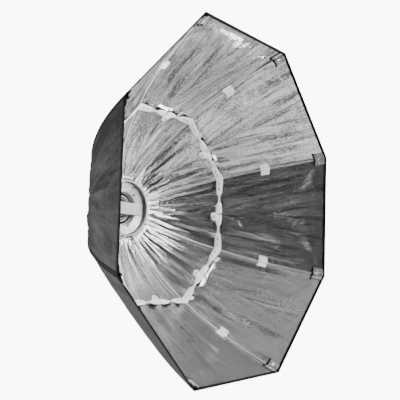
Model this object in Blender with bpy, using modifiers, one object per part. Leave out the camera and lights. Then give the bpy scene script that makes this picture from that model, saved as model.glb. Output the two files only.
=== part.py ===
"""Octagonal studio softbox: a speed ring with a turning insert, and eight hinged rods that spread the fabric.

The softbox's axis is Y and its mouth faces -Y. +Z is up. The origin is the centre of the insert's rear face,
which the lamp head holds. Each rod's parts are modelled for a rod that lies in the XY plane, with their origin
on its hinge, and turned about Y into place.
"""

import math

import bmesh
import bpy
from mathutils import Matrix, Vector

# Driving dimensions, in metres
ROD_COUNT = 8
MOUTH_RADIUS = 0.475  # axis to a mouth corner
DEPTH = 0.450  # mouth plane to the insert's rear face
RING_RADIUS = 0.083  # speed ring, outside
LIP_Y = -0.0382  # front edge of the speed ring
INSERT_RADIUS = 0.0775
BORE_RADIUS = 0.0523
ROD_RADIUS = 0.002
GAP = 0.0003  # between pieces that touch
RUN = 0.0004  # running clearance round turning pieces

# A rod's centre line is a quadratic arc in (radius, y) through these three poles
ROD_POLES = ((0.0548, -0.0184), (0.3060, -0.1012), (MOUTH_RADIUS, -DEPTH))
HINGE_AT = 0.072  # places along a rod, as the arc's parameter from 0 to 1
SOCKET_FROM = 0.097
ROD_FROM = 0.110
SOCKET_TO = 0.149
PANEL_FROM = 0.090
STRAP_AT = 0.505
KEEPER_AT = 0.735
POCKET_AT = 0.9745
ROD_TO = 0.985

# Socket and its bearing in the ring
SOCKET_RADIUS = 0.005
SOCKET_BORE = ROD_RADIUS + 0.0006
TONGUE_WIDTH = 0.0078
TRUNNION_RADIUS = 0.003
TRUNNION_LENGTH = 0.0144
EAR_HALF_WIDTH = 0.010
EAR_REACH = 0.0965  # axis to the ears' outer ends
EAR_REAR_Y = -0.0281
COVER_REAR_Y = -0.0205

# Fabric: distances outwards from a rod's centre line
PANEL_THICKNESS = 0.0012
PANEL_OUT = 0.0032
PANEL_OUT_AT_RING = 0.0040  # further out by this at the ring, to clear the sockets
PANEL_ROWS = 15
STRAP_OUT = -0.0034
STRAP_WIDTH = 0.018
ELASTIC_WIDTH = 0.006
STRAP_PIECE = 0.045  # half the length of the wide piece at each rod
BUTTON_PIECE = 0.016  # half the length of the wide piece between rods
KEEPER_LENGTH = 0.027
KEEPER_WIDTH = 0.036
POCKET_LENGTH = 0.036
POCKET_WIDTH = 0.038

# Insert and cap
CAP_FLOOR_Y = -0.0056
CAP_RADIUS = BORE_RADIUS - 0.0006
CAP_WALL = 0.0025
BAR_HALF_LENGTH = 0.0705
BAR_HALF_WIDTH = 0.017
BAR_REAR_Y = -0.0238
BAR_THICKNESS = 0.003
LUG_Y = (-0.0114, -0.0086)
GROOVE_Y = (-0.0122, -0.0078)
GROOVE_RADIUS = 0.0553
ENTRY_ANGLE = math.radians(110)  # the bayonet's entry slots, from +X towards +Z

SEGMENTS = 48
STEP = 2 * math.pi / ROD_COUNT
FIRST_ROD = STEP / 2  # a flat side of the octagon is at +X, and one on top
HALF_STEP = STEP / 2


def start_file():
    """Empties the file and makes the two collections."""
    for obj in list(bpy.data.objects):
        bpy.data.objects.remove(obj)
    found = []
    for name in ("studio_softbox", "cutters"):
        collection = bpy.data.collections.new(name)
        bpy.context.scene.collection.children.link(collection)
        found.append(collection)
    return found


PARTS, CUTTERS = start_file()


def material(name, color, roughness, metallic=0.0):
    mat = bpy.data.materials.new(name)
    mat.use_nodes = True
    shader = mat.node_tree.nodes["Principled BSDF"]
    shader.inputs["Base Color"].default_value = (*color, 1)
    shader.inputs["Roughness"].default_value = roughness
    shader.inputs["Metallic"].default_value = metallic
    return mat


CAST_METAL = material("ring_metal", (0.62, 0.63, 0.64), 0.35, 1.0)
DARK_METAL = material("dark_metal", (0.20, 0.20, 0.21), 0.45, 1.0)
STEEL = material("spring_steel", (0.72, 0.73, 0.74), 0.22, 1.0)
WHITE_PLASTIC = material("white_plastic", (0.88, 0.88, 0.87), 0.4)
GREY_PLASTIC = material("grey_plastic", (0.60, 0.60, 0.60), 0.45)
SLIP_PLASTIC = material("slip_plastic", (0.80, 0.78, 0.72), 0.5)
LINED_FABRIC = material("lined_fabric", (0.05, 0.05, 0.052), 0.8)
BLACK_ELASTIC = material("black_elastic", (0.03, 0.03, 0.03), 0.85)
WHITE_WEBBING = material("white_webbing", (0.85, 0.85, 0.84), 0.8)
GREY_WEBBING = material("grey_webbing", (0.32, 0.32, 0.33), 0.8)


def smooth(mesh, degrees=35):
    mesh.shade_smooth()
    mesh.set_sharp_from_angle(angle=math.radians(degrees))
    return mesh


def add_part(name, data, mat, parent=None, collection=PARTS):
    """An object with this mesh or curve. Copies share their data, which keeps one material."""
    if not data.materials:
        data.materials.append(mat)
    obj = bpy.data.objects.new(name, data)
    collection.objects.link(obj)
    obj.parent = parent
    return obj


def baked(obj):
    """The mesh that obj has after its modifiers. obj is removed."""
    bpy.context.view_layer.update()
    evaluated = obj.evaluated_get(bpy.context.evaluated_depsgraph_get())
    mesh = bpy.data.meshes.new_from_object(evaluated)
    bm = bmesh.new()
    bm.from_mesh(mesh)
    bmesh.ops.remove_doubles(bm, verts=bm.verts, dist=0.000001)
    bmesh.ops.recalc_face_normals(bm, faces=bm.faces)
    bm.to_mesh(mesh)
    bm.free()
    mesh.materials.clear()
    bpy.data.objects.remove(obj)
    return mesh


def turned(profile):
    """A mesh turned about Y from a closed outline of (radius, y), or an open one that ends on the axis."""
    mesh = bpy.data.meshes.new("turned")
    count = len(profile)
    open_ended = profile[0][0] == 0 and profile[-1][0] == 0
    edges = [(i, (i + 1) % count) for i in range(count - 1 if open_ended else count)]
    mesh.from_pydata([(r, 0, y) for r, y in profile], edges, [])
    obj = add_part("turned", mesh, CAST_METAL, collection=CUTTERS)
    screw = obj.modifiers.new("Screw", "SCREW")
    screw.steps = SEGMENTS
    screw.render_steps = SEGMENTS
    screw.use_merge_vertices = True
    screw.merge_threshold = 0.00001
    result = baked(obj)
    result.transform(Matrix.Rotation(-math.pi / 2, 4, "X"))
    return result


def band(inner, outer, front, rear):
    """The outline of a plain ring, for turned()."""
    return [(inner, front), (outer, front), (outer, rear), (inner, rear)]


def box(low, high):
    """A mesh box between two corners."""
    bm = bmesh.new()
    size = Vector(high) - Vector(low)
    middle = (Vector(high) + Vector(low)) / 2
    place = Matrix.Translation(middle) @ Matrix.Diagonal((*size, 1))
    bmesh.ops.create_cube(bm, size=1, matrix=place)
    mesh = bpy.data.meshes.new("box")
    bm.to_mesh(mesh)
    bm.free()
    return mesh


def cylinder(radius, start, end, sides=16, end_radius=None):
    """A mesh cylinder, or a cone if end_radius is given, from start to end."""
    bm = bmesh.new()
    along = Vector(end) - Vector(start)
    turn = Vector((0, 0, 1)).rotation_difference(along).to_matrix().to_4x4()
    place = Matrix.Translation((Vector(start) + Vector(end)) / 2) @ turn
    bmesh.ops.create_cone(
        bm,
        cap_ends=True,
        segments=sides,
        radius1=radius,
        radius2=radius if end_radius is None else end_radius,
        depth=along.length,
        matrix=place,
    )
    mesh = bpy.data.meshes.new("cylinder")
    bm.to_mesh(mesh)
    bm.free()
    return mesh


def spun(mesh, angle):
    """A copy of mesh, turned about Y from +X towards +Z."""
    copy = mesh.copy()
    copy.transform(Matrix.Rotation(-angle, 4, "Y"))
    return copy


def combined(mesh, others, operation):
    """mesh after a Boolean with each of the others in turn."""
    obj = add_part("blank", mesh, CAST_METAL, collection=CUTTERS)
    for other in others:
        cutter = add_part("cutter", other, CAST_METAL, collection=CUTTERS)
        cutter.hide_render = True
        cutter.display_type = "WIRE"
        boolean = obj.modifiers.new("Boolean", "BOOLEAN")
        boolean.operation = operation
        boolean.solver = "EXACT"
        boolean.object = cutter
    result = baked(obj)
    for cutter in [o for o in CUTTERS.objects if o.name.startswith("cutter")]:
        bpy.data.objects.remove(cutter)
    return result


def rod_point(s):
    """(radius, y) of the rod's centre line at parameter s."""
    a, b, c = ROD_POLES
    weights = ((1 - s) ** 2, 2 * s * (1 - s), s**2)
    return tuple(sum(w * p[i] for w, p in zip(weights, (a, b, c))) for i in range(2))


def rod_slope(s):
    """The rate of change of (radius, y) with s."""
    a, b, c = ROD_POLES
    return Vector([2 * (1 - s) * (b[i] - a[i]) + 2 * s * (c[i] - b[i]) for i in range(2)])


HINGE = Vector((*rod_point(HINGE_AT), 0))


def skin_point(s, across, out):
    """A point beside the rod, from the rod's hinge: across metres sideways along the flat fabric, and out
    metres outwards from the rod's centre line."""
    r, y = rod_point(s)
    slope = rod_slope(s).normalized()
    r -= slope[1] * out
    y += slope[0] * out
    lean = math.copysign(HALF_STEP, across)
    sideways = Vector((-math.sin(abs(lean)), 0, math.copysign(math.cos(lean), across)))
    return Vector((r, y, 0)) + sideways * abs(across) - HINGE


def half_width(s, out):
    """From the rod to the middle of the fabric between two rods, less half the gap there."""
    r = rod_point(s)[0] - rod_slope(s).normalized()[1] * out
    return r * math.sin(HALF_STEP) - GAP / 2


def panel_out(s):
    return PANEL_OUT + PANEL_OUT_AT_RING * (1 - s) ** 2


def shell(rows, thickness):
    """A shell of even thickness on a grid of points."""
    mesh = bpy.data.meshes.new("shell")
    width = len(rows[0])
    faces = [
        (i * width + j, i * width + j + 1, (i + 1) * width + j + 1, (i + 1) * width + j)
        for i in range(len(rows) - 1)
        for j in range(width - 1)
    ]
    mesh.from_pydata([p for row in rows for p in row], [], faces)
    obj = add_part("shell", mesh, CAST_METAL, collection=CUTTERS)
    solidify = obj.modifiers.new("Solidify", "SOLIDIFY")
    solidify.thickness = thickness
    solidify.offset = 0
    solidify.use_even_offset = True
    return smooth(baked(obj), 20)


def panel_mesh():
    """The fabric beside one rod, out to the middle of each gap between rods."""
    rows = []
    for i in range(PANEL_ROWS):
        s = PANEL_FROM + (1 - PANEL_FROM) * i / (PANEL_ROWS - 1)
        out = panel_out(s)
        edge = half_width(s, out)
        rows.append([skin_point(s, side * edge, out) for side in (-1, 0, 1)])
    return shell(rows, PANEL_THICKNESS)


def strap_mesh():
    """A wide piece across the rod, elastic on each side, and half of a wide piece at each end."""
    edge = half_width(STRAP_AT, STRAP_OUT)
    button = edge - BUTTON_PIECE
    stations = [
        (0, STRAP_WIDTH),
        (STRAP_PIECE - 0.008, STRAP_WIDTH * 0.9),
        (STRAP_PIECE, ELASTIC_WIDTH),
        (button - 0.004, ELASTIC_WIDTH),
        (button, STRAP_WIDTH * 0.8),
        (edge, STRAP_WIDTH * 0.9),
    ]
    both = [(-across, width) for across, width in reversed(stations[1:])] + stations
    rows = []
    for across, width in both:
        places = [STRAP_AT + side * width / 2 / rod_slope(STRAP_AT).length for side in (1, -1)]
        # the ends are cut along the line half way between two rods
        limits = [half_width(s, STRAP_OUT) if abs(across) == edge else abs(across) for s in places]
        rows.append([
            skin_point(s, math.copysign(limit, across), STRAP_OUT) for s, limit in zip(places, limits)
        ])
    return shell(rows, 0.0012)


def hat_mesh(at, length, width, crown, brim, thickness):
    """A patch that bridges the rod and lies on the fabric at both sides. crown and brim are its levels."""
    half = length / 2 / rod_slope(at).length
    columns = (
        (-width / 2, brim),
        (-0.0050, brim),
        (-0.0036, crown),
        (0.0036, crown),
        (0.0050, brim),
        (width / 2, brim),
    )
    rows = [
        [skin_point(s, across, out) for across, out in columns]
        for s in (at - half, at, at + half)
    ]
    return shell(rows, thickness)


def rod_curve():
    """A spring steel rod."""
    curve = bpy.data.curves.new("rod", "CURVE")
    curve.dimensions = "3D"
    curve.bevel_depth = ROD_RADIUS
    curve.bevel_resolution = 2
    curve.use_fill_caps = True
    curve.resolution_u = 1
    curve.render_resolution_u = 0
    count = 16
    spline = curve.splines.new("POLY")
    spline.points.add(count - 1)
    for i, point in enumerate(spline.points):
        s = ROD_FROM + (ROD_TO - ROD_FROM) * i / (count - 1)
        point.co = (*(Vector((*rod_point(s), 0)) - HINGE), 1)
    return curve


def socket_mesh():
    """The sleeve that holds a rod, with the tongue and trunnions on which it swings."""
    along = (Vector((*rod_point(SOCKET_TO), 0)) - HINGE).normalized()
    turn = Vector((1, 0, 0)).rotation_difference(along).to_matrix().to_4x4()
    sleeve_from = (Vector((*rod_point(SOCKET_FROM), 0)) - HINGE).length
    sleeve_to = (Vector((*rod_point(SOCKET_TO), 0)) - HINGE).length
    bore_from = (Vector((*rod_point(ROD_FROM), 0)) - HINGE).length - 0.0006
    sleeve = cylinder(SOCKET_RADIUS, (sleeve_from, 0, 0), (sleeve_to, 0, 0), 16, SOCKET_RADIUS - 0.0004)
    half = TONGUE_WIDTH / 2
    neck = box((-0.0008, -0.0026, -half), (sleeve_from + 0.001, 0.0026, half))
    reach = TRUNNION_LENGTH / 2
    trunnion = cylinder(TRUNNION_RADIUS, (0, 0, -reach), (0, 0, reach))
    solid = combined(sleeve, [neck, trunnion], "UNION")
    bore = cylinder(SOCKET_BORE, (bore_from, 0, 0), (sleeve_to + 0.01, 0, 0), 12)
    solid = combined(solid, [bore], "DIFFERENCE")
    solid.transform(turn)
    return smooth(solid)


def ring_mesh():
    """The speed ring, with a pair of ears and a bearing notch for each socket."""
    wall = INSERT_RADIUS + RUN
    ring = turned([
        (wall, LIP_Y + 0.0006),
        (wall + 0.0006, LIP_Y),
        (RING_RADIUS - 0.0012, LIP_Y),
        (RING_RADIUS, LIP_Y + 0.0012),
        (RING_RADIUS, -0.0112),
        (RING_RADIUS - 0.0012, -0.0100),
        (0.0700, -0.0100),
        (0.0700, -0.0160),
        (wall, -0.0160),
    ])
    ear = box((RING_RADIUS - 0.002, LIP_Y + 0.001, -EAR_HALF_WIDTH), (EAR_REACH, EAR_REAR_Y, EAR_HALF_WIDTH))
    slot_half = TONGUE_WIDTH / 2 + RUN
    slot = box((RING_RADIUS + 0.0027, -0.05, -slot_half), (0.11, -0.02, slot_half))
    reach = TRUNNION_LENGTH / 2 + RUN
    bearing = TRUNNION_RADIUS + 0.0003
    seat = cylinder(bearing, HINGE - Vector((0, 0, reach)), HINGE + Vector((0, 0, reach)))
    notch = box(HINGE - Vector((bearing, 0, reach)), HINGE + Vector((bearing, 0.02, reach)))
    ears = []
    cuts = []
    for k in range(ROD_COUNT):
        angle = FIRST_ROD + STEP * k
        ears.append(spun(ear, angle))
        cuts += [spun(slot, angle), spun(seat, angle), spun(notch, angle)]
    return smooth(combined(combined(ring, ears, "UNION"), cuts, "DIFFERENCE"))


def cover_mesh():
    """The ring behind the ears, which closes the sockets' bearings."""
    front = EAR_REAR_Y + GAP
    inner = RING_RADIUS + 0.0006
    cover = turned(band(inner, inner + 0.0036, front, COVER_REAR_Y))
    tab = box((inner + 0.001, front, -EAR_HALF_WIDTH), (EAR_REACH, COVER_REAR_Y, EAR_HALF_WIDTH))
    tabs = [spun(tab, FIRST_ROD + STEP * k) for k in range(ROD_COUNT)]
    return smooth(combined(cover, tabs, "UNION"))


def insert_mesh():
    """The insert that turns in the ring: a dished front flange, a bayonet groove and two entry slots."""
    insert = turned([
        (BORE_RADIUS, -0.0201),
        (INSERT_RADIUS - 0.0010, -0.0239),
        (INSERT_RADIUS, -0.0229),
        (INSERT_RADIUS, -0.0163),
        (0.0695, -0.0163),
        (0.0695, 0),
        (BORE_RADIUS, 0),
        (BORE_RADIUS, GROOVE_Y[1]),
        (GROOVE_RADIUS, GROOVE_Y[1]),
        (GROOVE_RADIUS, GROOVE_Y[0]),
        (BORE_RADIUS, GROOVE_Y[0]),
    ])
    entry = box((0.045, -0.04, -0.0048), (GROOVE_RADIUS - 0.0001, GROOVE_Y[1] - 0.0002, 0.0048))
    entries = [spun(entry, ENTRY_ANGLE + math.pi * k) for k in range(2)]
    return smooth(combined(insert, entries, "DIFFERENCE"))


def cap_mesh():
    """The cup that closes the bore, with two ribs on its floor and two bayonet lugs."""
    inside = CAP_RADIUS - CAP_WALL
    rib = 0.0008
    cup = turned([
        (0, CAP_FLOOR_Y),
        (0.019, CAP_FLOOR_Y),
        (0.020, CAP_FLOOR_Y - rib),
        (0.022, CAP_FLOOR_Y - rib),
        (0.023, CAP_FLOOR_Y),
        (0.035, CAP_FLOOR_Y),
        (0.036, CAP_FLOOR_Y - rib),
        (0.038, CAP_FLOOR_Y - rib),
        (0.039, CAP_FLOOR_Y),
        (inside, CAP_FLOOR_Y),
        (inside, -0.0190),
        (CAP_RADIUS, -0.0190),
        (CAP_RADIUS, CAP_FLOOR_Y + 0.003),
        (0, CAP_FLOOR_Y + 0.003),
    ])
    lug = box((CAP_RADIUS - 0.001, LUG_Y[0], -0.004), (GROOVE_RADIUS - 0.0008, LUG_Y[1], 0.004))
    return smooth(combined(cup, [spun(lug, math.pi * k) for k in range(2)], "UNION"))


def bar_mesh():
    """The grip bar across the insert, with the web that carries it down to the cup's floor."""
    curve = bpy.data.curves.new("bar", "CURVE")
    curve.dimensions = "2D"
    curve.fill_mode = "BOTH"
    curve.extrude = BAR_THICKNESS / 2
    curve.render_resolution_u = 0
    corners = [(BAR_HALF_LENGTH, 0), (BAR_HALF_LENGTH - 0.0035, 0.012), (BAR_HALF_LENGTH - 0.0085, BAR_HALF_WIDTH)]
    quarter = corners + [(-x, y) for x, y in reversed(corners[1:])]
    outline = quarter + [(-x, -y) for x, y in quarter]
    spline = curve.splines.new("POLY")
    spline.points.add(len(outline) - 1)
    for point, (x, y) in zip(spline.points, outline):
        point.co = (x, y, 0, 1)
    spline.use_cyclic_u = True
    bar = baked(add_part("bar", curve, CAST_METAL, collection=CUTTERS))
    lift = Matrix.Translation((0, BAR_REAR_Y - BAR_THICKNESS / 2, 0))
    bar.transform(lift @ Matrix.Rotation(math.pi / 2, 4, "X"))
    half = CAP_RADIUS - CAP_WALL - 0.001
    web = box((-half, BAR_REAR_Y - 0.001, -0.007), (half, CAP_FLOOR_Y - 0.0008 - GAP, 0.007))
    return smooth(combined(bar, [web], "UNION"))


def collar_mesh():
    """The fabric's elastic collar: a hem round the ring, and a flange behind the ears with a lip forwards."""
    inner = RING_RADIUS + 0.0006
    outer = EAR_REACH + 0.0030
    front = COVER_REAR_Y + GAP
    collar = turned([
        (inner, front),
        (outer - 0.0010, front),
        (outer - 0.0010, EAR_REAR_Y + 0.0016),
        (outer, EAR_REAR_Y + 0.0016),
        (outer, front + 0.0010),
        (inner + 0.0014, front + 0.0010),
        (inner + 0.0014, -0.0115),
        (inner, -0.0115),
    ])
    return smooth(collar)


def hook_curve():
    """A wire loop on the ring's rim that holds the edge of the fabric."""
    curve = bpy.data.curves.new("hook", "CURVE")
    curve.dimensions = "3D"
    curve.bevel_depth = 0.0007
    curve.bevel_resolution = 1
    curve.use_fill_caps = True
    curve.render_resolution_u = 0
    foot = RING_RADIUS + 0.0011
    path = [(foot, -0.0045), (foot + 0.0030, -0.0040), (0.0915, -0.0006), (0.0915, 0.0006)]
    path += [(r, -z) for r, z in reversed(path[:2])]
    spline = curve.splines.new("POLY")
    spline.points.add(len(path) - 1)
    for point, (r, z) in zip(spline.points, path):
        point.co = (r, LIP_Y + 0.0042, z, 1)
    return curve


def build_ring():
    """The ring, the insert that turns in it, and the cap."""
    add_part("ring_body", ring_mesh(), CAST_METAL)
    add_part("pivot_cover", cover_mesh(), DARK_METAL)
    add_part("fabric_collar", collar_mesh(), BLACK_ELASTIC)
    add_part("friction_ring", smooth(turned(band(0.0700, 0.0775, -0.0097, -0.0083))), SLIP_PLASTIC)
    add_part("retaining_ring", smooth(turned(band(0.0698, 0.0785, -0.0080, -0.0040))), DARK_METAL)
    add_part("insert_ring", insert_mesh(), CAST_METAL)
    add_part("cap_cup", cap_mesh(), GREY_PLASTIC)
    add_part("cap_grip_bar", bar_mesh(), CAST_METAL)
    hook = hook_curve()
    for k in range(4):
        loop = add_part(f"collar_hook_{k + 1}", hook, STEEL)
        loop.rotation_euler.y = -(math.pi / 4 + math.pi / 2 * k)


def build_rods():
    """Each rod with its socket and its share of the fabric, under an empty on its hinge."""
    keeper = hat_mesh(KEEPER_AT, KEEPER_LENGTH, KEEPER_WIDTH, -0.0032, 0.0014, 0.0010)
    pocket = hat_mesh(POCKET_AT, POCKET_LENGTH, POCKET_WIDTH, -0.0036, 0.0008, 0.0020)
    kinds = (
        ("rod_socket", socket_mesh(), WHITE_PLASTIC),
        ("rod", rod_curve(), STEEL),
        ("fabric_panel", panel_mesh(), LINED_FABRIC),
        ("strap", strap_mesh(), WHITE_WEBBING),
        ("rod_keeper", keeper, WHITE_WEBBING),
        ("corner_pocket", pocket, GREY_WEBBING),
    )
    for k in range(ROD_COUNT):
        angle = FIRST_ROD + STEP * k
        hinge = bpy.data.objects.new(f"hinge_{k + 1}", None)
        PARTS.objects.link(hinge)
        hinge.location = Matrix.Rotation(-angle, 3, "Y") @ HINGE
        hinge.rotation_euler.y = -angle
        for name, data, mat in kinds:
            add_part(f"{name}_{k + 1}", data, mat, hinge)


build_ring()
build_rods()
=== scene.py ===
"""The looks of the octagonal softbox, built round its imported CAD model.

The softbox's axis is Y, its mouth faces -Y, +Z is up and the lamp holds it at the origin. Everything on an
arm is placed by three numbers: s, the place along the rod's arc from 0 to 1, across, the distance sideways
along the flat fabric, and out, the distance outwards from the rod's centre line.
"""

import math

import bmesh
import bpy
import numpy as np
from mathutils import Matrix, Vector, noise


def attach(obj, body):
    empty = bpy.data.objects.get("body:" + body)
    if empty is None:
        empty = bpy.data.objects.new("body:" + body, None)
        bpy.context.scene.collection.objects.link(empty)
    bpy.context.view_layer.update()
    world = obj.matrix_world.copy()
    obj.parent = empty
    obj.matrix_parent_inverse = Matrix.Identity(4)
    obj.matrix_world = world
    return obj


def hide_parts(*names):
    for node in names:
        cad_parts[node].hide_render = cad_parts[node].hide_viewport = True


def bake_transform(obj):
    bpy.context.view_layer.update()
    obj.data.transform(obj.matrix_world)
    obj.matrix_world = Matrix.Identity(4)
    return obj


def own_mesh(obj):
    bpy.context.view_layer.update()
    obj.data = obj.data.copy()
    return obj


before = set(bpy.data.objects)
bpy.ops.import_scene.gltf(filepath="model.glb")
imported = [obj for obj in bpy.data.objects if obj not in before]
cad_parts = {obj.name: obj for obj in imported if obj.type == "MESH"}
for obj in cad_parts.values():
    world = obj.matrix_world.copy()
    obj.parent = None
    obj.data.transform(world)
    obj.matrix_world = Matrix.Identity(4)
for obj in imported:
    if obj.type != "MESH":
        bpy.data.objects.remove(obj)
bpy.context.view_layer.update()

# The same rod arc and fabric levels as the CAD model, in metres
ROD_POLES = np.array(((0.0548, -0.0184), (0.3060, -0.1012), (0.475, -0.450)))
ROD_RADIUS = 0.002
ROD_FROM = 0.110
ROD_TO = 0.985
SOCKET_TO = 0.149
PANEL_FROM = 0.090
STRAP_AT = 0.505
KEEPER_AT = 0.735
POCKET_AT = 0.9745
PANEL_OUT = 0.0032
PANEL_OUT_AT_RING = 0.0040
STRAP_OUT = -0.0034
HINGE = (0.09055, -0.0317)  # radius and y
LIP_Y = -0.0382
CAP_FLOOR_Y = -0.0056
CAP_REAR_Y = -0.0026
BAR_FRONT_Y = -0.0268
FOLD = math.radians(40)
LEAST_KEEP = 0.12  # the narrowest that folded fabric gathers to, as a share of its width

ARMS = range(1, 9)
STEP = math.pi / 4
HALF_STEP = STEP / 2

# Fabric
CLOTH = 0.0010  # cloth and lining together
HEM_RADIUS = 0.0868  # the fabric's inner edge, hooked to the ring
HEM_Y = -0.0292
EAR_RADIUS = 0.0975
EAR_HALF = 0.0112
COLLAR_TO = 0.165  # the fabric follows the ring at its hem and the arms from here on
BANDS = 6  # lengths of fabric, cut where the share that the fabric keeps when the arms fold steps evenly

CAMERA_PLACE = (-1.364, -1.376, -0.148)
CAMERA_AIM = (0.78578, 0.61328, 0.08029)
CAMERA_ROLL = math.radians(-1.74)
CAMERA_LENS = 58.6
CAMERA_SHIFT = (-0.0052, 0.0215)


# ---------------------------------------------------------------- shapes on the arms


def rod_point(s):
    """(radius, y) of a rod's centre line; s can be an array."""
    s = np.asarray(s, float)[..., None]
    return (1 - s) ** 2 * ROD_POLES[0] + 2 * s * (1 - s) * ROD_POLES[1] + s**2 * ROD_POLES[2]


def rod_slope(s):
    s = np.asarray(s, float)[..., None]
    return 2 * (1 - s) * (ROD_POLES[1] - ROD_POLES[0]) + 2 * s * (ROD_POLES[2] - ROD_POLES[1])


def rod_out(s, out):
    """(radius, y) at a distance outwards from the rod."""
    slope = rod_slope(s)
    slope = slope / np.linalg.norm(slope, axis=-1, keepdims=True)
    normal = np.stack((-slope[..., 1], slope[..., 0]), axis=-1)
    return rod_point(s) + normal * np.asarray(out, float)[..., None]


def radial(angle):
    return np.array((math.cos(angle), 0.0, math.sin(angle)))


def arm_angle(k):
    return HALF_STEP + STEP * (k - 1)


def arm_before(k):
    return (k - 2) % 8 + 1


def arm_after(k):
    return k % 8 + 1


def arm_sideways(k):
    """The direction of arm k's hinge, which is also sideways across its rod."""
    angle = arm_angle(k)
    return np.array((-math.sin(angle), 0.0, math.cos(angle)))


def skin(k, s, across, out):
    """Points beside rod k in the row frame. s, across and out can be arrays."""
    s, across, out = np.broadcast_arrays(np.asarray(s, float), across, out)
    ry = rod_out(s, out)
    x = ry[..., 0] - math.sin(HALF_STEP) * np.abs(across)
    t = math.cos(HALF_STEP) * across
    return (
        x[..., None] * radial(arm_angle(k))
        + ry[..., 1:2] * np.array((0.0, 1.0, 0.0))
        + t[..., None] * arm_sideways(k)
    )


def half_width(s, out):
    """From a rod along the fabric to half way to the next rod."""
    return rod_out(s, out)[..., 0] * math.sin(HALF_STEP)


def panel_out(s):
    return PANEL_OUT + PANEL_OUT_AT_RING * (1 - np.asarray(s, float)) ** 2


def along(s, distance):
    """The change of s that is this distance along the rod."""
    return distance / float(np.linalg.norm(rod_slope(s)))


def keep_at(s):
    """The share of its half width that the fabric keeps at s when the arms are folded, so that it still about
    reaches its neighbours."""
    r, y = rod_out(s, panel_out(s))
    middle = r * math.cos(HALF_STEP) ** 2
    folded = HINGE[0] + (middle - HINGE[0]) * math.cos(FOLD) - (HINGE[1] - y) * math.sin(FOLD)
    return float(min(1.0, max(LEAST_KEEP, folded / middle)))


# ---------------------------------------------------------------- materials


def shader_of(name, color, roughness, metallic=0.0, **sockets):
    """A new material with a Principled shader. Returns (material, nodes, links, shader)."""
    mat = bpy.data.materials.new(name)
    mat.use_nodes = True
    nodes = mat.node_tree.nodes
    shader = nodes["Principled BSDF"]
    shader.inputs["Base Color"].default_value = (*color, 1)
    shader.inputs["Roughness"].default_value = roughness
    shader.inputs["Metallic"].default_value = metallic
    for socket, value in sockets.items():
        shader.inputs[socket.replace("_", " ")].default_value = value
    return mat, nodes, mat.node_tree.links, shader


def noise_node(nodes, links, place, scale, detail=3.0, rough=0.55, distortion=0.0):
    node = nodes.new("ShaderNodeTexNoise")
    node.inputs["Scale"].default_value = scale
    node.inputs["Detail"].default_value = detail
    node.inputs["Roughness"].default_value = rough
    node.inputs["Distortion"].default_value = distortion
    links.new(place, node.inputs["Vector"])
    return node.outputs["Fac"]


def ramp(nodes, links, value, stops):
    """A colour ramp of (place, grey) stops."""
    node = nodes.new("ShaderNodeValToRGB")
    for i, (place, grey) in enumerate(stops):
        stop = node.color_ramp.elements[i] if i < 2 else node.color_ramp.elements.new(place)
        stop.position = place
        stop.color = (grey, grey, grey, 1) if isinstance(grey, float) else (*grey, 1)
    links.new(value, node.inputs["Fac"])
    return node.outputs["Color"]


def maths(nodes, links, operation, a, b):
    node = nodes.new("ShaderNodeMath")
    node.operation = operation
    for socket, value in zip(node.inputs, (a, b)):
        if isinstance(value, (int, float)):
            socket.default_value = value
        else:
            links.new(value, socket)
    return node.outputs[0]


def bump(nodes, links, shader, height, strength, distance, before=None):
    node = nodes.new("ShaderNodeBump")
    node.inputs["Strength"].default_value = strength
    node.inputs["Distance"].default_value = distance
    links.new(height, node.inputs["Height"])
    if before is not None:
        links.new(before, node.inputs["Normal"])
    links.new(node.outputs["Normal"], shader.inputs["Normal"])
    return node.outputs["Normal"]


def object_place(nodes):
    return nodes.new("ShaderNodeTexCoord").outputs["Object"]


def axes_of(nodes, links, place):
    """The X, Y and Z of a place."""
    node = nodes.new("ShaderNodeSeparateXYZ")
    links.new(place, node.inputs[0])
    return node.outputs


def weave_height(nodes, links, place, per_metre):
    """A plain weave: two crossed sets of ridges that alternate."""
    axes = axes_of(nodes, links, place)
    ridges = []
    for a, b in (("X", "Z"), ("Y", "Z")):
        turn = maths(nodes, links, "ADD", axes[a], axes[b])
        turn = maths(nodes, links, "MULTIPLY", turn, per_metre * 2 * math.pi)
        ridges.append(maths(nodes, links, "SINE", turn, 0.0))
    return maths(nodes, links, "MULTIPLY", *ridges)


def cloth_place(nodes, links, across, along):
    """Coordinates on the flat fabric, scaled so that noise in them runs out along the rods."""
    node = nodes.new("ShaderNodeVectorMath")
    node.operation = "MULTIPLY"
    links.new(nodes.new("ShaderNodeTexCoord").outputs["UV"], node.inputs[0])
    node.inputs[1].default_value = (across, along, 1)
    return node.outputs[0]


FABRIC_WEAVE = 900  # threads to the metre
WEBBING_WEAVE = 450


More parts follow.
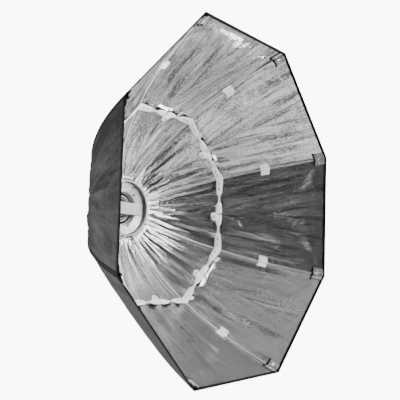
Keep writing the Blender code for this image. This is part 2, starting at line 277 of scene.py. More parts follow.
def silver_lining():
    """Metallised cloth: a foil face with creases along the folds of storage and the cloth's grain showing;
    the streaks and specks in its colour are partly painted reflection.
    """
    mat, nodes, links, shader = shader_of("silver_lining", (0.5, 0.5, 0.51), 0.3, 0.92)
    place = object_place(nodes)

    # a mask in patches that rises towards the top and the ring: it deepens the creases' bumps there, and in
    # the colour it strengthens the streaks and specks, which is painted reflection
    axes = axes_of(nodes, links, place)
    patches = noise_node(nodes, links, place, 5.0, 2.0)
    top_and_ring_level = maths(nodes, links, "ADD", maths(nodes, links, "MULTIPLY", axes["Z"], 0.5), patches)
    depth = maths(nodes, links, "ADD", axes["Y"], 0.25)
    top_and_ring_level = maths(nodes, links, "ADD", top_and_ring_level, maths(nodes, links, "MULTIPLY", depth, 0.5))
    creases_and_painted_reflection = ramp(nodes, links, top_and_ring_level, ((0.34, 0.08), (0.62, 1.0)))

    # streaks out along the rods, which also bump in the creases, and specks of the foil's grain; towards the
    # top and the ring the mask makes both stronger in the colour as painted reflection
    streaks = noise_node(nodes, links, cloth_place(nodes, links, 60, 5), 1.0, 4.0, 0.6, 0.4)
    streaks = maths(nodes, links, "MULTIPLY", maths(nodes, links, "SUBTRACT", streaks, 0.5), creases_and_painted_reflection)
    grain = noise_node(nodes, links, place, 260.0, 3.0, 0.8)
    speck_strength = maths(nodes, links, "ADD", maths(nodes, links, "MULTIPLY", creases_and_painted_reflection, 1.3), 0.25)
    specks = maths(nodes, links, "MULTIPLY", maths(nodes, links, "SUBTRACT", grain, 0.5), speck_strength)
    shade = maths(nodes, links, "ADD", specks, 0.5)
    shade = maths(nodes, links, "ADD", shade, maths(nodes, links, "MULTIPLY", streaks, 1.15))
    links.new(ramp(nodes, links, shade, ((0.35, 0.14), (0.58, 0.97))), shader.inputs["Base Color"])

    broad = noise_node(nodes, links, place, 16.0, 5.0, 0.62, 0.5)
    crinkle = noise_node(nodes, links, place, 110.0, 6.0, 0.65, 0.6)
    links.new(ramp(nodes, links, crinkle, ((0.25, 0.08), (0.8, 0.22))), shader.inputs["Roughness"])
    level = bump(nodes, links, shader, streaks, 0.4, 0.005)
    level = bump(nodes, links, shader, broad, 0.15, 0.004, level)
    level = bump(nodes, links, shader, crinkle, 0.06, 0.0018, level)
    level = bump(nodes, links, shader, grain, 0.2, 0.0008, level)
    bump(nodes, links, shader, weave_height(nodes, links, place, FABRIC_WEAVE), 0.2, 0.0002, level)
    return mat


def black_cloth():
    mat, nodes, links, shader = shader_of(
        "black_cloth", (0.008, 0.008, 0.0085), 0.7, 0.0,
        Specular_IOR_Level=0.12, Sheen_Weight=0.01, Sheen_Roughness=0.4,
    )
    place = object_place(nodes)
    mottle = noise_node(nodes, links, place, 90.0, 4.0, 0.6, 0.2)
    folds = noise_node(nodes, links, cloth_place(nodes, links, 24, 3.5), 1.0, 4.0, 0.6, 0.5)
    height = axes_of(nodes, links, place)["Z"]
    shade = maths(nodes, links, "ADD", maths(nodes, links, "MULTIPLY", mottle, 0.5), 0.25)
    shade = maths(nodes, links, "ADD", shade, maths(nodes, links, "SUBTRACT", folds, 0.5))
    # painted shade: the cloth is coloured darker towards the top and lighter towards the bottom, as the light
    # falls from below left
    shade = maths(nodes, links, "SUBTRACT", shade, maths(nodes, links, "MULTIPLY", height, 0.5))
    links.new(ramp(nodes, links, shade, ((0.34, 0.003), (0.68, 0.022))), shader.inputs["Base Color"])
    first = bump(nodes, links, shader, folds, 0.6, 0.008)
    bump(nodes, links, shader, weave_height(nodes, links, place, FABRIC_WEAVE), 0.3, 0.0002, first)
    return mat


def webbing(name, dark, light, rough=0.75, sheen=0.2, specular=0.4):
    mat, nodes, links, shader = shader_of(
        name, (light,) * 3, rough, 0.0, Sheen_Weight=sheen, Specular_IOR_Level=specular
    )
    place = object_place(nodes)
    weave = weave_height(nodes, links, place, WEBBING_WEAVE)
    fuzz = noise_node(nodes, links, place, 700.0, 3.0)
    shade = maths(nodes, links, "ADD", maths(nodes, links, "MULTIPLY", weave, 0.25), fuzz)
    links.new(ramp(nodes, links, shade, ((0.25, dark), (0.75, light))), shader.inputs["Base Color"])
    first = bump(nodes, links, shader, weave, 0.5, 0.0004)
    bump(nodes, links, shader, fuzz, 0.2, 0.0002, first)
    return mat


def metal(name, grey, roughness, scratches=0.15, scale=400.0):
    mat, nodes, links, shader = shader_of(name, (grey,) * 3, roughness, 1.0)
    place = object_place(nodes)
    fine = noise_node(nodes, links, place, scale, 4.0, 0.7)
    wear = noise_node(nodes, links, place, 35.0, 4.0, 0.6)
    spread = ((0.3, max(0.05, roughness - scratches * 0.6)), (0.8, roughness + scratches))
    links.new(ramp(nodes, links, fine, spread), shader.inputs["Roughness"])
    tones = ((0.3, grey * 0.9), (0.8, min(1.0, grey * 1.05)))
    links.new(ramp(nodes, links, wear, tones), shader.inputs["Base Color"])
    bump(nodes, links, shader, fine, 0.12, 0.0002)
    return mat


def plastic(name, grey, roughness, grain=600.0):
    mat, nodes, links, shader = shader_of(name, (grey,) * 3, roughness, 0.0)
    place = object_place(nodes)
    fine = noise_node(nodes, links, place, grain, 3.0)
    dirt = noise_node(nodes, links, place, 60.0, 4.0)
    links.new(ramp(nodes, links, dirt, ((0.25, grey * 0.93), (0.7, grey))), shader.inputs["Base Color"])
    gloss = ((0.3, roughness - 0.06), (0.8, roughness + 0.08))
    links.new(ramp(nodes, links, fine, gloss), shader.inputs["Roughness"])
    bump(nodes, links, shader, fine, 0.12, 0.0002)
    return mat


SILVER = silver_lining()
BLACK = black_cloth()
BLACK_TAPE = webbing("black_tape", 0.002, 0.007, 0.85, 0.0, 0.08)
WHITE_TAPE = webbing("white_tape", 0.84, 0.95)
WHITE_ELASTIC = webbing("white_elastic", 0.70, 0.90)
GREY_TAPE = webbing("grey_tape", 0.18, 0.30)
WHITE_THREAD = webbing("white_thread", 0.70, 0.85)
RING_METAL = metal("ring_metal", 0.35, 0.34)
DARK_METAL = metal("dark_metal", 0.10, 0.45)
ROD_STEEL = metal("rod_steel", 0.95, 0.42, 0.10)
FITTING = metal("fitting_metal", 0.70, 0.25, 0.10)
WHITE_PLASTIC = plastic("white_plastic", 0.93, 0.38)
GREY_PLASTIC = plastic("grey_plastic", 0.50, 0.45)
SLIP_PLASTIC = plastic("slip_plastic", 0.75, 0.40)


# ---------------------------------------------------------------- mesh helpers


def added(name, data):
    """A new object in the scene."""
    obj = bpy.data.objects.new(name, data)
    bpy.context.scene.collection.objects.link(obj)
    return obj


def new_object(name, points, faces, materials, face_materials=None, normals=None, flat=None):
    """An object from points and faces. normals, one for each face corner, keep shading even across cuts, and
    flat gives each point's place on the flat fabric."""
    mesh = bpy.data.meshes.new(name)
    mesh.from_pydata([tuple(p) for p in points], [], faces)
    for mat in materials:
        mesh.materials.append(mat)
    if face_materials is not None:
        mesh.polygons.foreach_set("material_index", face_materials)
    mesh.shade_smooth()
    if flat is not None:
        loops = np.array([loop.vertex_index for loop in mesh.loops])
        mesh.uv_layers.new(name="flat").data.foreach_set("uv", np.asarray(flat)[loops].ravel())
    if normals is not None:
        mesh.normals_split_custom_set([tuple(n) for n in normals])
    return added(name, mesh)


def from_bmesh(name, bm, mat, sharp=40):
    bmesh.ops.recalc_face_normals(bm, faces=bm.faces)
    mesh = bpy.data.meshes.new(name)
    bm.to_mesh(mesh)
    bm.free()
    mesh.materials.append(mat)
    mesh.shade_smooth()
    mesh.set_sharp_from_angle(angle=math.radians(sharp))
    return added(name, mesh)


def sweep(name, rings, mat, sharp):
    """A skin over rings of points, each ring closed and the ends capped."""
    rings = np.asarray(rings, float)
    count, around = rings.shape[:2]
    faces = []
    for i in range(count - 1):
        for j in range(around):
            n = (j + 1) % around
            faces.append((i * around + j, i * around + n, (i + 1) * around + n, (i + 1) * around + j))
    faces.append(tuple(range(around)))
    faces.append(tuple((count - 1) * around + j for j in reversed(range(around))))
    bm = bmesh.new()
    verts = [bm.verts.new(p) for p in rings.reshape(-1, 3)]
    for face in faces:
        bm.faces.new([verts[i] for i in face])
    return from_bmesh(name, bm, mat, sharp)


def tube(name, points, radius, mat, sides=4):
    """A round wire along points."""
    curve = bpy.data.curves.new(name, "CURVE")
    curve.dimensions = "3D"
    curve.bevel_depth = radius
    curve.bevel_resolution = sides
    curve.use_fill_caps = True
    spline = curve.splines.new("POLY")
    spline.points.add(len(points) - 1)
    for target, point in zip(spline.points, points):
        target.co = (*point, 1)
    spline.use_smooth = True
    curve.materials.append(mat)
    return added(name, curve)


def join_around(bm, rings):
    """Faces between rings of vertices, each ring closed and the last joined to the first."""
    for a, b in zip(rings, rings[1:] + rings[:1]):
        for j in range(len(a)):
            n = (j + 1) % len(a)
            bm.faces.new((a[j], a[n], b[n], b[j]))


def turned(name, profile, mat, segments=128, sharp=35):
    """A turned piece about Y from an outline of (radius, y)."""
    rings = []
    for i in range(segments):
        angle = 2 * math.pi * i / segments
        rings.append([radial(angle) * r + np.array((0, y, 0)) for r, y in profile])
    bm = bmesh.new()
    join_around(bm, [[bm.verts.new(p) for p in ring] for ring in rings])
    bmesh.ops.remove_doubles(bm, verts=bm.verts, dist=1e-6)
    return from_bmesh(name, bm, mat, sharp)


# ---------------------------------------------------------------- fabric

# places of the mesh's columns from a rod to the middle of a gore, closer together at the rod
COLUMN_SHARES = np.array((
    0, 0.010, 0.024, 0.045, 0.07, 0.10, 0.135, 0.17, 0.21, 0.25, 0.29, 0.33, 0.37, 0.415, 0.46, 0.5,
))
COLUMNS = np.concatenate((COLUMN_SHARES, 1 - COLUMN_SHARES[-2::-1]))
MIDDLE = len(COLUMN_SHARES) - 1
HEM_ROWS = 6
ROWS = 92
MOUTH_LENGTH = 0.583  # from the hem to the mouth along the middle of a gore
HEM_GATHER = 0.30  # spare width gathered at the ring, as a share
GATHER_REACH = 0.10
SPARE_WIDTH = 0.050  # spare width and length of the slack fabric
SPARE_LENGTH = 0.002
SETTLE_FRAMES = 36
BOUND_ROWS = 3  # rows at the mouth that its binding holds flat
BOUND_FROM = (0.93, 0.98)  # s over which the folds die out towards the binding
PLEAT_HEIGHT = 0.0042  # gathers at the ring
PLEATS = 5.5  # by gore
PLEAT_REACH = 0.17
SLACK_HEIGHTS = (0.0036, 0.0050)  # broad and narrow folds
BOW_HEIGHT = 0.0040  # how far the middle of a gore bows outwards
SEAM_REACH = 0.012  # how far a rod's seam holds the fabric flat
CORNER_HEIGHT = 0.0016  # pulls out of the corner pockets
CORNER_REACH = (0.08, 0.085)  # where they are highest, and how far they spread
STRAP_ROW = HEM_ROWS + round((STRAP_AT - PANEL_FROM) / (1 - PANEL_FROM) * (ROWS - 1))


def smooth_step(x, low, high):
    x = np.clip((x - low) / (high - low), 0, 1)
    return x * x * (3 - 2 * x)


def waves(gore, x, y):
    """Seeded smooth noise from -1 to 1."""
    return noise.noise(Vector((x, y, 7.3 * gore + 0.5)))


def start_height(gore, s, v, width, length):
    """How far the fabric starts inwards from its flat gore: gathers at the ring, then long folds."""
    edge = min(v, 1 - v) * width
    held = 1 - math.exp(-((edge / SEAM_REACH) ** 1.4))
    turn = 2 * math.pi * (PLEATS * v + 0.35 * waves(gore, v * 3, length * 9) + 0.13 * gore)
    pleat = math.cos(turn) * 0.75 + 0.35 * math.cos(2.3 * turn + 1.7 * gore)
    gathers = PLEAT_HEIGHT * pleat * math.exp(-((length / PLEAT_REACH) ** 2)) * smooth_step(length, 0.0, 0.03)
    slack = SLACK_HEIGHTS[0] * waves(gore, v * 4.2 + 3 * length, length * 2.6 + 11)
    slack += SLACK_HEIGHTS[1] * waves(gore, v * 11 - 2 * length, length * 2.2 + 31)
    bow = -BOW_HEIGHT * math.sin(math.pi * v) * math.sin(math.pi * min(1.0, length / 0.50))
    taut = 1 - 0.85 * smooth_step(s, 0.90, 1.0)
    folds = sum(corner_fold(gore, side, v if side else 1 - v, width, length) for side in (0, 1))
    sewn = 1 - math.exp(-(((s - STRAP_AT) / 0.03) ** 2))
    bound = 1 - smooth_step(s, *BOUND_FROM)
    loose = (gathers + slack * smooth_step(length, 0.02, 0.10)) * held + bow
    return (loose * taut * sewn + folds * held) * bound


def corner_fold(gore, side, v, width, length):
    """Pulls that run out of a corner pocket into the gore."""
    across, up = (1 - v) * width, MOUTH_LENGTH - length
    reach = math.hypot(across, up)
    turn = math.atan2(across, up + 1e-9)
    swing = math.cos(7.5 * turn + 1.3 * gore + 2.1 * side)
    fade = math.exp(-((reach - CORNER_REACH[0]) / CORNER_REACH[1]) ** 2)
    return CORNER_HEIGHT * swing * math.sin(min(math.pi, 2 * turn)) * fade


def flat_gore(gore):
    """The gore after rod number gore, as rows of straight lines from rod to rod, with its s by row."""
    s_rows = PANEL_FROM + (1 - PANEL_FROM) * np.linspace(0, 1, ROWS)
    out = panel_out(s_rows)
    first = skin(gore, s_rows, 0.0, out)
    last = skin(arm_after(gore), s_rows, 0.0, out)
    v = COLUMNS[None, :, None]
    flat = first[:, None] * (1 - v) + last[:, None] * v
    angles = arm_angle(gore) + STEP * COLUMNS
    hem = np.array([radial(angle) * HEM_RADIUS + np.array((0, HEM_Y, 0)) for angle in angles])
    lead_in = [hem + (flat[0] - hem) * i / HEM_ROWS for i in range(HEM_ROWS)]
    return np.concatenate((lead_in, flat)), np.concatenate((np.full(HEM_ROWS, PANEL_FROM), s_rows))


def inward_of(gore, flat):
    chord = flat[:, -1] - flat[:, 0]
    inward = np.cross(chord, np.gradient(flat[:, MIDDLE], axis=0))
    inward /= np.linalg.norm(inward, axis=1, keepdims=True)
    return inward * -np.sign(inward @ radial(arm_angle(gore) + HALF_STEP) + inward[:, 1] * 0.01)[:, None]


def settle(starts, cuts):
    """Let the fabric take its own shape: its cut is wider than the frame it is stretched on."""
    count = starts[0].shape[0] * starts[0].shape[1]
    columns = len(COLUMNS)
    faces, held = [], []
    for g, start in enumerate(starts):
        base, rows = g * count, start.shape[0]
        for i in range(rows):
            for j in range(columns):
                a = base + i * columns + j
                if i < rows - 1 and j < columns - 1:
                    faces.append((a, a + 1, a + columns + 1, a + columns))
                if j in (0, columns - 1) or i in (0, STRAP_ROW) or i >= rows - BOUND_ROWS:
                    held.append(a)
    cloth = new_object("cloth", np.concatenate([s.reshape(-1, 3) for s in starts]), faces, (SILVER,))
    cloth.vertex_groups.new(name="held").add(held, 1.0, "REPLACE")
    cloth.shape_key_add(name="Basis")
    cut = cloth.shape_key_add(name="cut")
    cut.data.foreach_set("co", np.concatenate([c.reshape(-1, 3) for c in cuts]).ravel())
    modifier = cloth.modifiers.new("cloth", "CLOTH")
    settings = modifier.settings
    settings.quality = 5
    settings.mass = 0.05
    settings.tension_stiffness = 20
    settings.compression_stiffness = 20
    settings.shear_stiffness = 10
    settings.bending_stiffness = 0.02
    settings.tension_damping = 5
    settings.compression_damping = 5
    settings.shear_damping = 5
    settings.bending_damping = 0.5
    settings.air_damping = 3
    settings.vertex_group_mass = "held"
    settings.rest_shape_key = cut
    settings.effector_weights.gravity = 0.05
    modifier.collision_settings.use_collision = False
    modifier.point_cache.frame_start = 1
    modifier.point_cache.frame_end = SETTLE_FRAMES
    scene = bpy.context.scene
    for frame_number in range(1, SETTLE_FRAMES + 1):
        scene.frame_set(frame_number)
    shaped = cloth.evaluated_get(bpy.context.evaluated_depsgraph_get()).data
    co = np.empty(len(shaped.vertices) * 3)
    shaped.vertices.foreach_get("co", co)
    scene.frame_set(1)
    bpy.data.objects.remove(cloth)
    return list(co.reshape(len(ARMS), starts[0].shape[0], columns, 3))


HEIGHTS = {}  # by gore, how far the settled fabric stands inwards of the flat gore


def fabric_out(k, s, across):
    """The level of the fabric at a place beside rod k."""
    gore, share = (k, 0.0) if across >= 0 else (arm_before(k), 1.0)
    share = abs(share - abs(across) / (2 * float(half_width(s, PANEL_OUT))))
    row = HEM_ROWS + (min(s, 1.0) - PANEL_FROM) / (1 - PANEL_FROM) * (ROWS - 1)
    first, last = int(row), len(HEIGHTS[gore]) - 1
    near = [np.interp(share, COLUMNS, HEIGHTS[gore][i]) for i in (first, min(first + 1, last))]
    height = near[0] + (near[1] - near[0]) * (row - first)
    return float(panel_out(min(s, 1.0)) - height)


def gores():
    """For each gore: points, outward normals, and its s and length by row."""
    starts, cuts, inwards = [], [], []
    for gore in ARMS:
        flat, s_all = flat_gore(gore)
        steps = np.linalg.norm(np.diff(flat[:, MIDDLE], axis=0), axis=1)
        length = np.concatenate(((0.0,), np.cumsum(steps)))
        width = np.linalg.norm(flat[:, -1] - flat[:, 0], axis=1)
        inward = inward_of(gore, flat)
        heights = np.array([
            [start_height(gore, s_all[i], share, width[i], length[i]) for share in COLUMNS]
            for i in range(len(flat))
        ])
        starts.append(flat + inward[:, None] * heights[..., None])
        spare = SPARE_WIDTH * (1 - smooth_step(s_all, 0.80, 0.97))
        wide = width * (1 + spare + HEM_GATHER * np.exp(-((length / GATHER_REACH) ** 2)))
        across = (COLUMNS - 0.5)[None] * wide[:, None]
        down = np.repeat(length[:, None] * (1 + SPARE_LENGTH), len(COLUMNS), axis=1)
        cuts.append(np.stack((across, down, np.zeros_like(across)), axis=-1))
        inwards.append(inward)
    points = settle(starts, cuts)
    made = {}
    for gore, grid, inward in zip(ARMS, points, inwards):
        HEIGHTS[gore] = ((grid - flat_gore(gore)[0]) * inward[:, None]).sum(2)
        normal = np.cross(np.gradient(grid, axis=1), np.gradient(grid, axis=0))
        normal /= np.linalg.norm(normal, axis=2, keepdims=True)
        flip = np.sign((normal * -inward[:, None]).sum(2, keepdims=True))
        made[gore] = (grid, normal * flip)
    return made, s_all, length


GORES, S_ROWS, LENGTHS = gores()


def band_edges():
    """Rows at which the fabric is cut, so that the share kept when the arms fold changes by about the same
    step from band to band.
    """
    first = HEM_ROWS + int(np.searchsorted(S_ROWS[HEM_ROWS:], COLLAR_TO))
    keeps = np.array([keep_at(s) for s in S_ROWS[first:]])
    wanted = np.linspace(keeps[0], keeps[-1], BANDS + 1)[1:-1]
    cuts = [first + int(np.argmin(np.abs(keeps - w))) for w in wanted]
    return [0, first, *cuts, len(S_ROWS) - 1]


EDGES = band_edges()


def cloth_piece(k, band):
    """Arm k's share of the two gores beside it between two cuts: a closed sheet, black outside and silver
    inside."""
    low, high = EDGES[band], EDGES[band + 1] + 1
    before, after = GORES[arm_before(k)], GORES[k]
    points = np.concatenate((before[0][low:high, MIDDLE:], after[0][low:high, 1:MIDDLE + 1]), axis=1)
    left = before[1][low:high, MIDDLE:]
    right = after[1][low:high, :MIDDLE + 1]
    shared = left[:, -1] + right[:, 0]
    shared /= np.linalg.norm(shared, axis=1, keepdims=True)
    lift = np.concatenate((left[:, :-1], shared[:, None], right[:, 1:]), axis=1)
    rows, width = points.shape[:2]
    total = rows * width
    lift = lift * CLOTH / 2
    verts = np.concatenate(((points + lift).reshape(-1, 3), (points - lift).reshape(-1, 3)))
    sideways, out_way = arm_sideways(k), radial(arm_angle(k))

    def normal_at(row, column, side_of):
        if side_of < MIDDLE:
            return left[row, column]
        return right[row, column - MIDDLE]

    def in_ear(row, column):
        middle = points[row:row + 2, column:column + 2].reshape(-1, 3).mean(0)
        return band == 0 and middle @ out_way < EAR_RADIUS and abs(middle @ sideways) < EAR_HALF

    kept = {(i, j) for i in range(rows - 1) for j in range(width - 1) if not in_ear(i, j)}
    faces, slots, corner_normals = [], [], []
    for i, j in sorted(kept):
        quad = ((i, j), (i, j + 1), (i + 1, j + 1), (i + 1, j))
        faces.append(tuple(row * width + column for row, column in quad))
        slots.append(0)
        corner_normals += [normal_at(row, column, j) for row, column in quad]
        faces.append(tuple(total + row * width + column for row, column in reversed(quad)))
        slots.append(1)
        corner_normals += [-normal_at(row, column, j) for row, column in reversed(quad)]
        for n, (row_step, column_step) in enumerate(((-1, 0), (0, 1), (1, 0), (0, -1))):
            if (i + row_step, j + column_step) in kept:
                continue
            p, q = (row * width + column for row, column in (quad[n], quad[(n + 1) % 4]))
            rim = (q, p, total + p, total + q)
            across = np.cross(verts[p] - verts[q], verts[total + p] - verts[q])
            faces.append(rim)
            slots.append(0)
            corner_normals += [across / max(np.linalg.norm(across), 1e-12)] * 4
    sides = np.concatenate((COLUMNS[MIDDLE:] - 1, COLUMNS[1:MIDDLE + 1]))
    half = half_width(S_ROWS[low:high], PANEL_OUT)
    down = np.repeat(LENGTHS[low:high, None], width, 1)
    flat = np.stack((2 * sides[None] * half[:, None] + k, down), axis=-1)
    flat = np.concatenate((flat.reshape(-1, 2),) * 2)
    return verts, faces, slots, corner_normals, flat


def ride_and_gather(piece, k):
    """piece rides on arm k, with its own copy of its mesh."""
    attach(piece, f"arm_{k}")
    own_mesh(piece)


def make_cloth():
    for k in ARMS:
        for band in range(BANDS + 1):
            verts, faces, slots, normals, flat = cloth_piece(k, band)
            piece = new_object(f"fabric_{k}_{band}", verts, faces, (BLACK, SILVER), slots, normals, flat)
            if band == 0:
                end = skin(k, 0.125, 0.0, 0.006)
                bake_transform(piece)
            else:
                ride_and_gather(piece, k)
            if band == 1:
                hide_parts(f"fabric_panel_{k}")


def make_binding():
    """Black tape folded over the mouth's edge."""
    turns = np.radians(np.linspace(-90, 90, 7))
    lip = [(-0.0010 + 0.0016 * math.cos(a), 0.0017 * math.sin(a)) for a in turns]
    section = [(-0.0075, -0.0013), (-0.0070, -0.0017), *lip, (-0.0085, 0.0017), (-0.0090, 0.0013)]
    section += [(-0.0090, 0.0009), (-0.0075, -0.0009)]
    for k in ARMS:
        rings = []
        half = float(half_width(1.0, PANEL_OUT))
        for share in (-1, -0.75, -0.5, -0.25, -0.02, 0, 0.02, 0.25, 0.5, 0.75, 1):
            ring = []
            for forward, out in section:
                s = 1.0 + along(1.0, forward)
                limit = float(half_width(s, PANEL_OUT + out))
                across = share * limit if abs(share) == 1 else share * half
                ring.append(skin(k, s, across, PANEL_OUT + out))
            rings.append(ring)
        piece = sweep(f"mouth_binding_{k}", rings, BLACK_TAPE, sharp=60)
        ride_and_gather(piece, k)


def make_seam_tapes():
    """Black tape sewn outside over each rod's seam."""
    for k in ARMS:
        rings = []
        for s in np.linspace(SOCKET_TO, 0.985, 48):
            low = float(panel_out(s)) + CLOTH / 2 + 0.0002
            half = min(0.0075, 0.9 * float(half_width(s, low)))
            columns = np.array((-1, -0.93, -0.5, -0.12, 0, 0.12, 0.5, 0.93, 1)) * half
            thick = np.array((0.2, 1, 1, 1, 1, 1, 1, 1, 0.2)) * 0.0009
            lower = [skin(k, s, c, low) for c in columns]
            upper = [skin(k, s, c, low + d) for c, d in zip(columns, thick)]
            rings.append(upper + lower[::-1])
        tape = sweep(f"seam_tape_{k}", rings, BLACK_TAPE, sharp=60)
        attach(tape, f"arm_{k}")


# ---------------------------------------------------------------- rods, sockets, strap, keepers, pockets


def make_rods():
    for k in ARMS:
        s = np.linspace(ROD_FROM, ROD_TO, 64)
        rod = tube(f"bright_rod_{k}", skin(k, s, 0.0, 0.0), ROD_RADIUS, ROD_STEEL)
        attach(rod, f"arm_{k}")
        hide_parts(f"rod_{k}")
        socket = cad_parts[f"rod_socket_{k}"]
        socket.data.materials.clear()
        socket.data.materials.append(WHITE_PLASTIC)


def strip(name, k, stations, out, thickness, mat, at):
    """A flat band across rod k. Stations are (across, half width towards the ring, half width towards the
    mouth)."""
    rings = []
    edge = 0.0003
    low, high = out - thickness / 2, out + thickness / 2
    for across, back, front in stations:
        ring = []
        for distance, level in (
            (-back, low + edge), (-back + edge, low), (front - edge, low), (front, low + edge),
            (front, high - edge), (front - edge, high), (-back + edge, high), (-back, high - edge),
        ):
            s = at + along(at, distance)
            limit = float(half_width(s, level))
            side = math.copysign(min(abs(across), limit), across)
            ring.append(skin(k, s, side, level))
        rings.append(ring)
    return sweep(name, rings, mat, sharp=50)


def snap(name, k, s, across, out, radius, mat):
    """A press stud: a domed cap on a flange, standing inwards from the level out."""
    centre = skin(k, s, across, out)
    step = 0.001
    du = skin(k, s + along(s, step), across, out) - centre
    dv = skin(k, s, across + step, out) - centre
    normal = np.cross(du, dv)
    normal /= np.linalg.norm(normal)
    inside = skin(k, s, across, out - step) - centre
    normal *= np.sign(normal @ inside)
    u = du / np.linalg.norm(du)
    w = np.cross(normal, u)
    rings = []
    for r, h in ((1.0, 0.0), (1.0, 0.18), (0.9, 0.26), (0.66, 0.30), (0.62, 0.50), (0.45, 0.66), (0.2, 0.72)):
        ring = []
        for i in range(20):
            a = 2 * math.pi * i / 20
            ring.append(centre + radius * (r * (math.cos(a) * u + math.sin(a) * w) + h * normal))
        rings.append(ring)
    return sweep(name, rings, mat, sharp=35)


def joined(name, pieces):
    """One object from several, with all their materials."""
    meshes = [piece.data for piece in pieces]
    mats = [mesh.materials[0] for mesh in meshes]
    slots = list(dict.fromkeys(mats))
    bm = bmesh.new()
    for mesh, mat in zip(meshes, mats):
        first = len(bm.faces)
        bm.from_mesh(mesh)
        bm.faces.ensure_lookup_table()
        for face in bm.faces[first:]:
            face.material_index = slots.index(mat)
    mesh = bpy.data.meshes.new(name)
    bm.to_mesh(mesh)
    bm.free()
    for mat in slots:
        mesh.materials.append(mat)
    mesh.shade_smooth()
    mesh.set_sharp_from_angle(angle=math.radians(45))
    for piece in pieces:
        bpy.data.objects.remove(piece)
    return added(name, mesh)


def disc(name, k, s, across, out, radius, thickness, mat):
    """A round tab lying at the level out, with a softened rim."""
    rings = []
    for share, level in ((0.90, -0.5), (1.0, -0.2), (1.0, 0.2), (0.90, 0.5)):
        turns = np.linspace(0, 2 * math.pi, 28, endpoint=False)
        spots = [
            skin(k, s + along(s, radius * share * math.cos(a)), across + radius * share * math.sin(a),
                 out + level * thickness)
            for a in turns
        ]
        rings.append(spots)
    return sweep(name, rings, mat, sharp=60)


def make_straps():
    """The inner strap: webbing at each rod, elastic beside it, and half of a snap piece at each end."""
    edge = float(half_width(STRAP_AT, STRAP_OUT))
    back = STRAP_OUT + 0.0022
    for k in ARMS:
        wide = [(-0.050, 0.0040), (-0.047, 0.0080), (-0.030, 0.0098), (-0.012, 0.0104), (0, 0.0104)]
        wide = [(a, b, b) for a, b in wide] + [(-a, b, b) for a, b in reversed(wide[:-1])]
        pieces = [strip("webbing", k, wide, STRAP_OUT, 0.0018, WHITE_TAPE, STRAP_AT)]
        for side in (-1, 1):
            thin = [(side * a, 0.0031, 0.0031) for a in (0.044, 0.055, 0.070, edge - 0.028)]
            pieces.append(strip("elastic", k, thin, STRAP_OUT, 0.0014, WHITE_ELASTIC, STRAP_AT))
            tab = [(edge - 0.036, 0.0042), (edge - 0.031, 0.0078), (edge - 0.014, 0.0098), (edge, 0.0102)]
            tab = [(side * a, b, b) for a, b in tab]
            pieces.append(strip("tab", k, tab, STRAP_OUT, 0.0018, WHITE_TAPE, STRAP_AT))
            # black tape loops behind the strap reach past its edge towards the mouth: tape sewn there, placed
            # and sized as painted shade for the dark gaps where the lining pulls away from the strap
            for place, reach in ((0.030, 0.009), (edge - 0.024, 0.014)):
                loop = [(side * (place + a), 0.002, 0.0128) for a in (-reach, 0, reach)]
                pieces.append(strip("loop", k, loop, back, 0.0012, BLACK_TAPE, STRAP_AT))
            for place in (0.014, 0.031):
                pieces.append(snap("stud", k, STRAP_AT, side * place, STRAP_OUT - 0.0009, 0.0036, FITTING))
        s = STRAP_AT - along(STRAP_AT, 0.0135)
        pieces.append(disc("round tab", k, s, edge - 0.0125, STRAP_OUT - 0.0004, 0.0120, 0.0016, WHITE_TAPE))
        pieces.append(snap("stud", k, s, edge - 0.0125, STRAP_OUT - 0.0012, 0.0046, FITTING))
        strap = joined(f"inner_strap_{k}", pieces)
        ride_and_gather(strap, k)
        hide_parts(f"strap_{k}")


PATCH_GAP = 0.0006  # between a patch and the fabric


def bridge(name, k, at, length, width, crown, brim, thickness, mat, rows=9):
    """A soft patch over the rod, with its wings on the fabric at both sides."""
    half = length / 2
    columns = np.linspace(-width / 2, width / 2, 29)
    hill = np.exp(-((columns / 0.0046) ** 2) ** 1.3)
    rings = []
    for distance in np.linspace(-half, half, rows):
        s = at + along(at, distance)
        fabric = np.array([fabric_out(k, s, across) for across in columns])
        clear = fabric - CLOTH / 2 - thickness / 2 - PATCH_GAP
        clear = np.array([clear[max(0, i - 2):i + 3].min() for i in range(len(clear))])
        level = np.minimum(brim + (crown - brim) * hill, clear)
        rounding = 0.0006 if abs(distance) == half else 0.0
        upper = [skin(k, s, c, o - thickness / 2 + rounding) for c, o in zip(columns, level)]
        lower = [skin(k, s, c, o + thickness / 2 - rounding * 0.5) for c, o in zip(columns, level)]
        rings.append(upper + lower[::-1])
    return sweep(name, rings, mat, sharp=70)


def make_patches():
    for k in ARMS:
        keeper = bridge(f"keeper_patch_{k}", k, KEEPER_AT, 0.027, 0.036, -0.0034, 0.0012, 0.0011, WHITE_TAPE)
        ride_and_gather(keeper, k)
        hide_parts(f"rod_keeper_{k}")
        make_pocket(k)


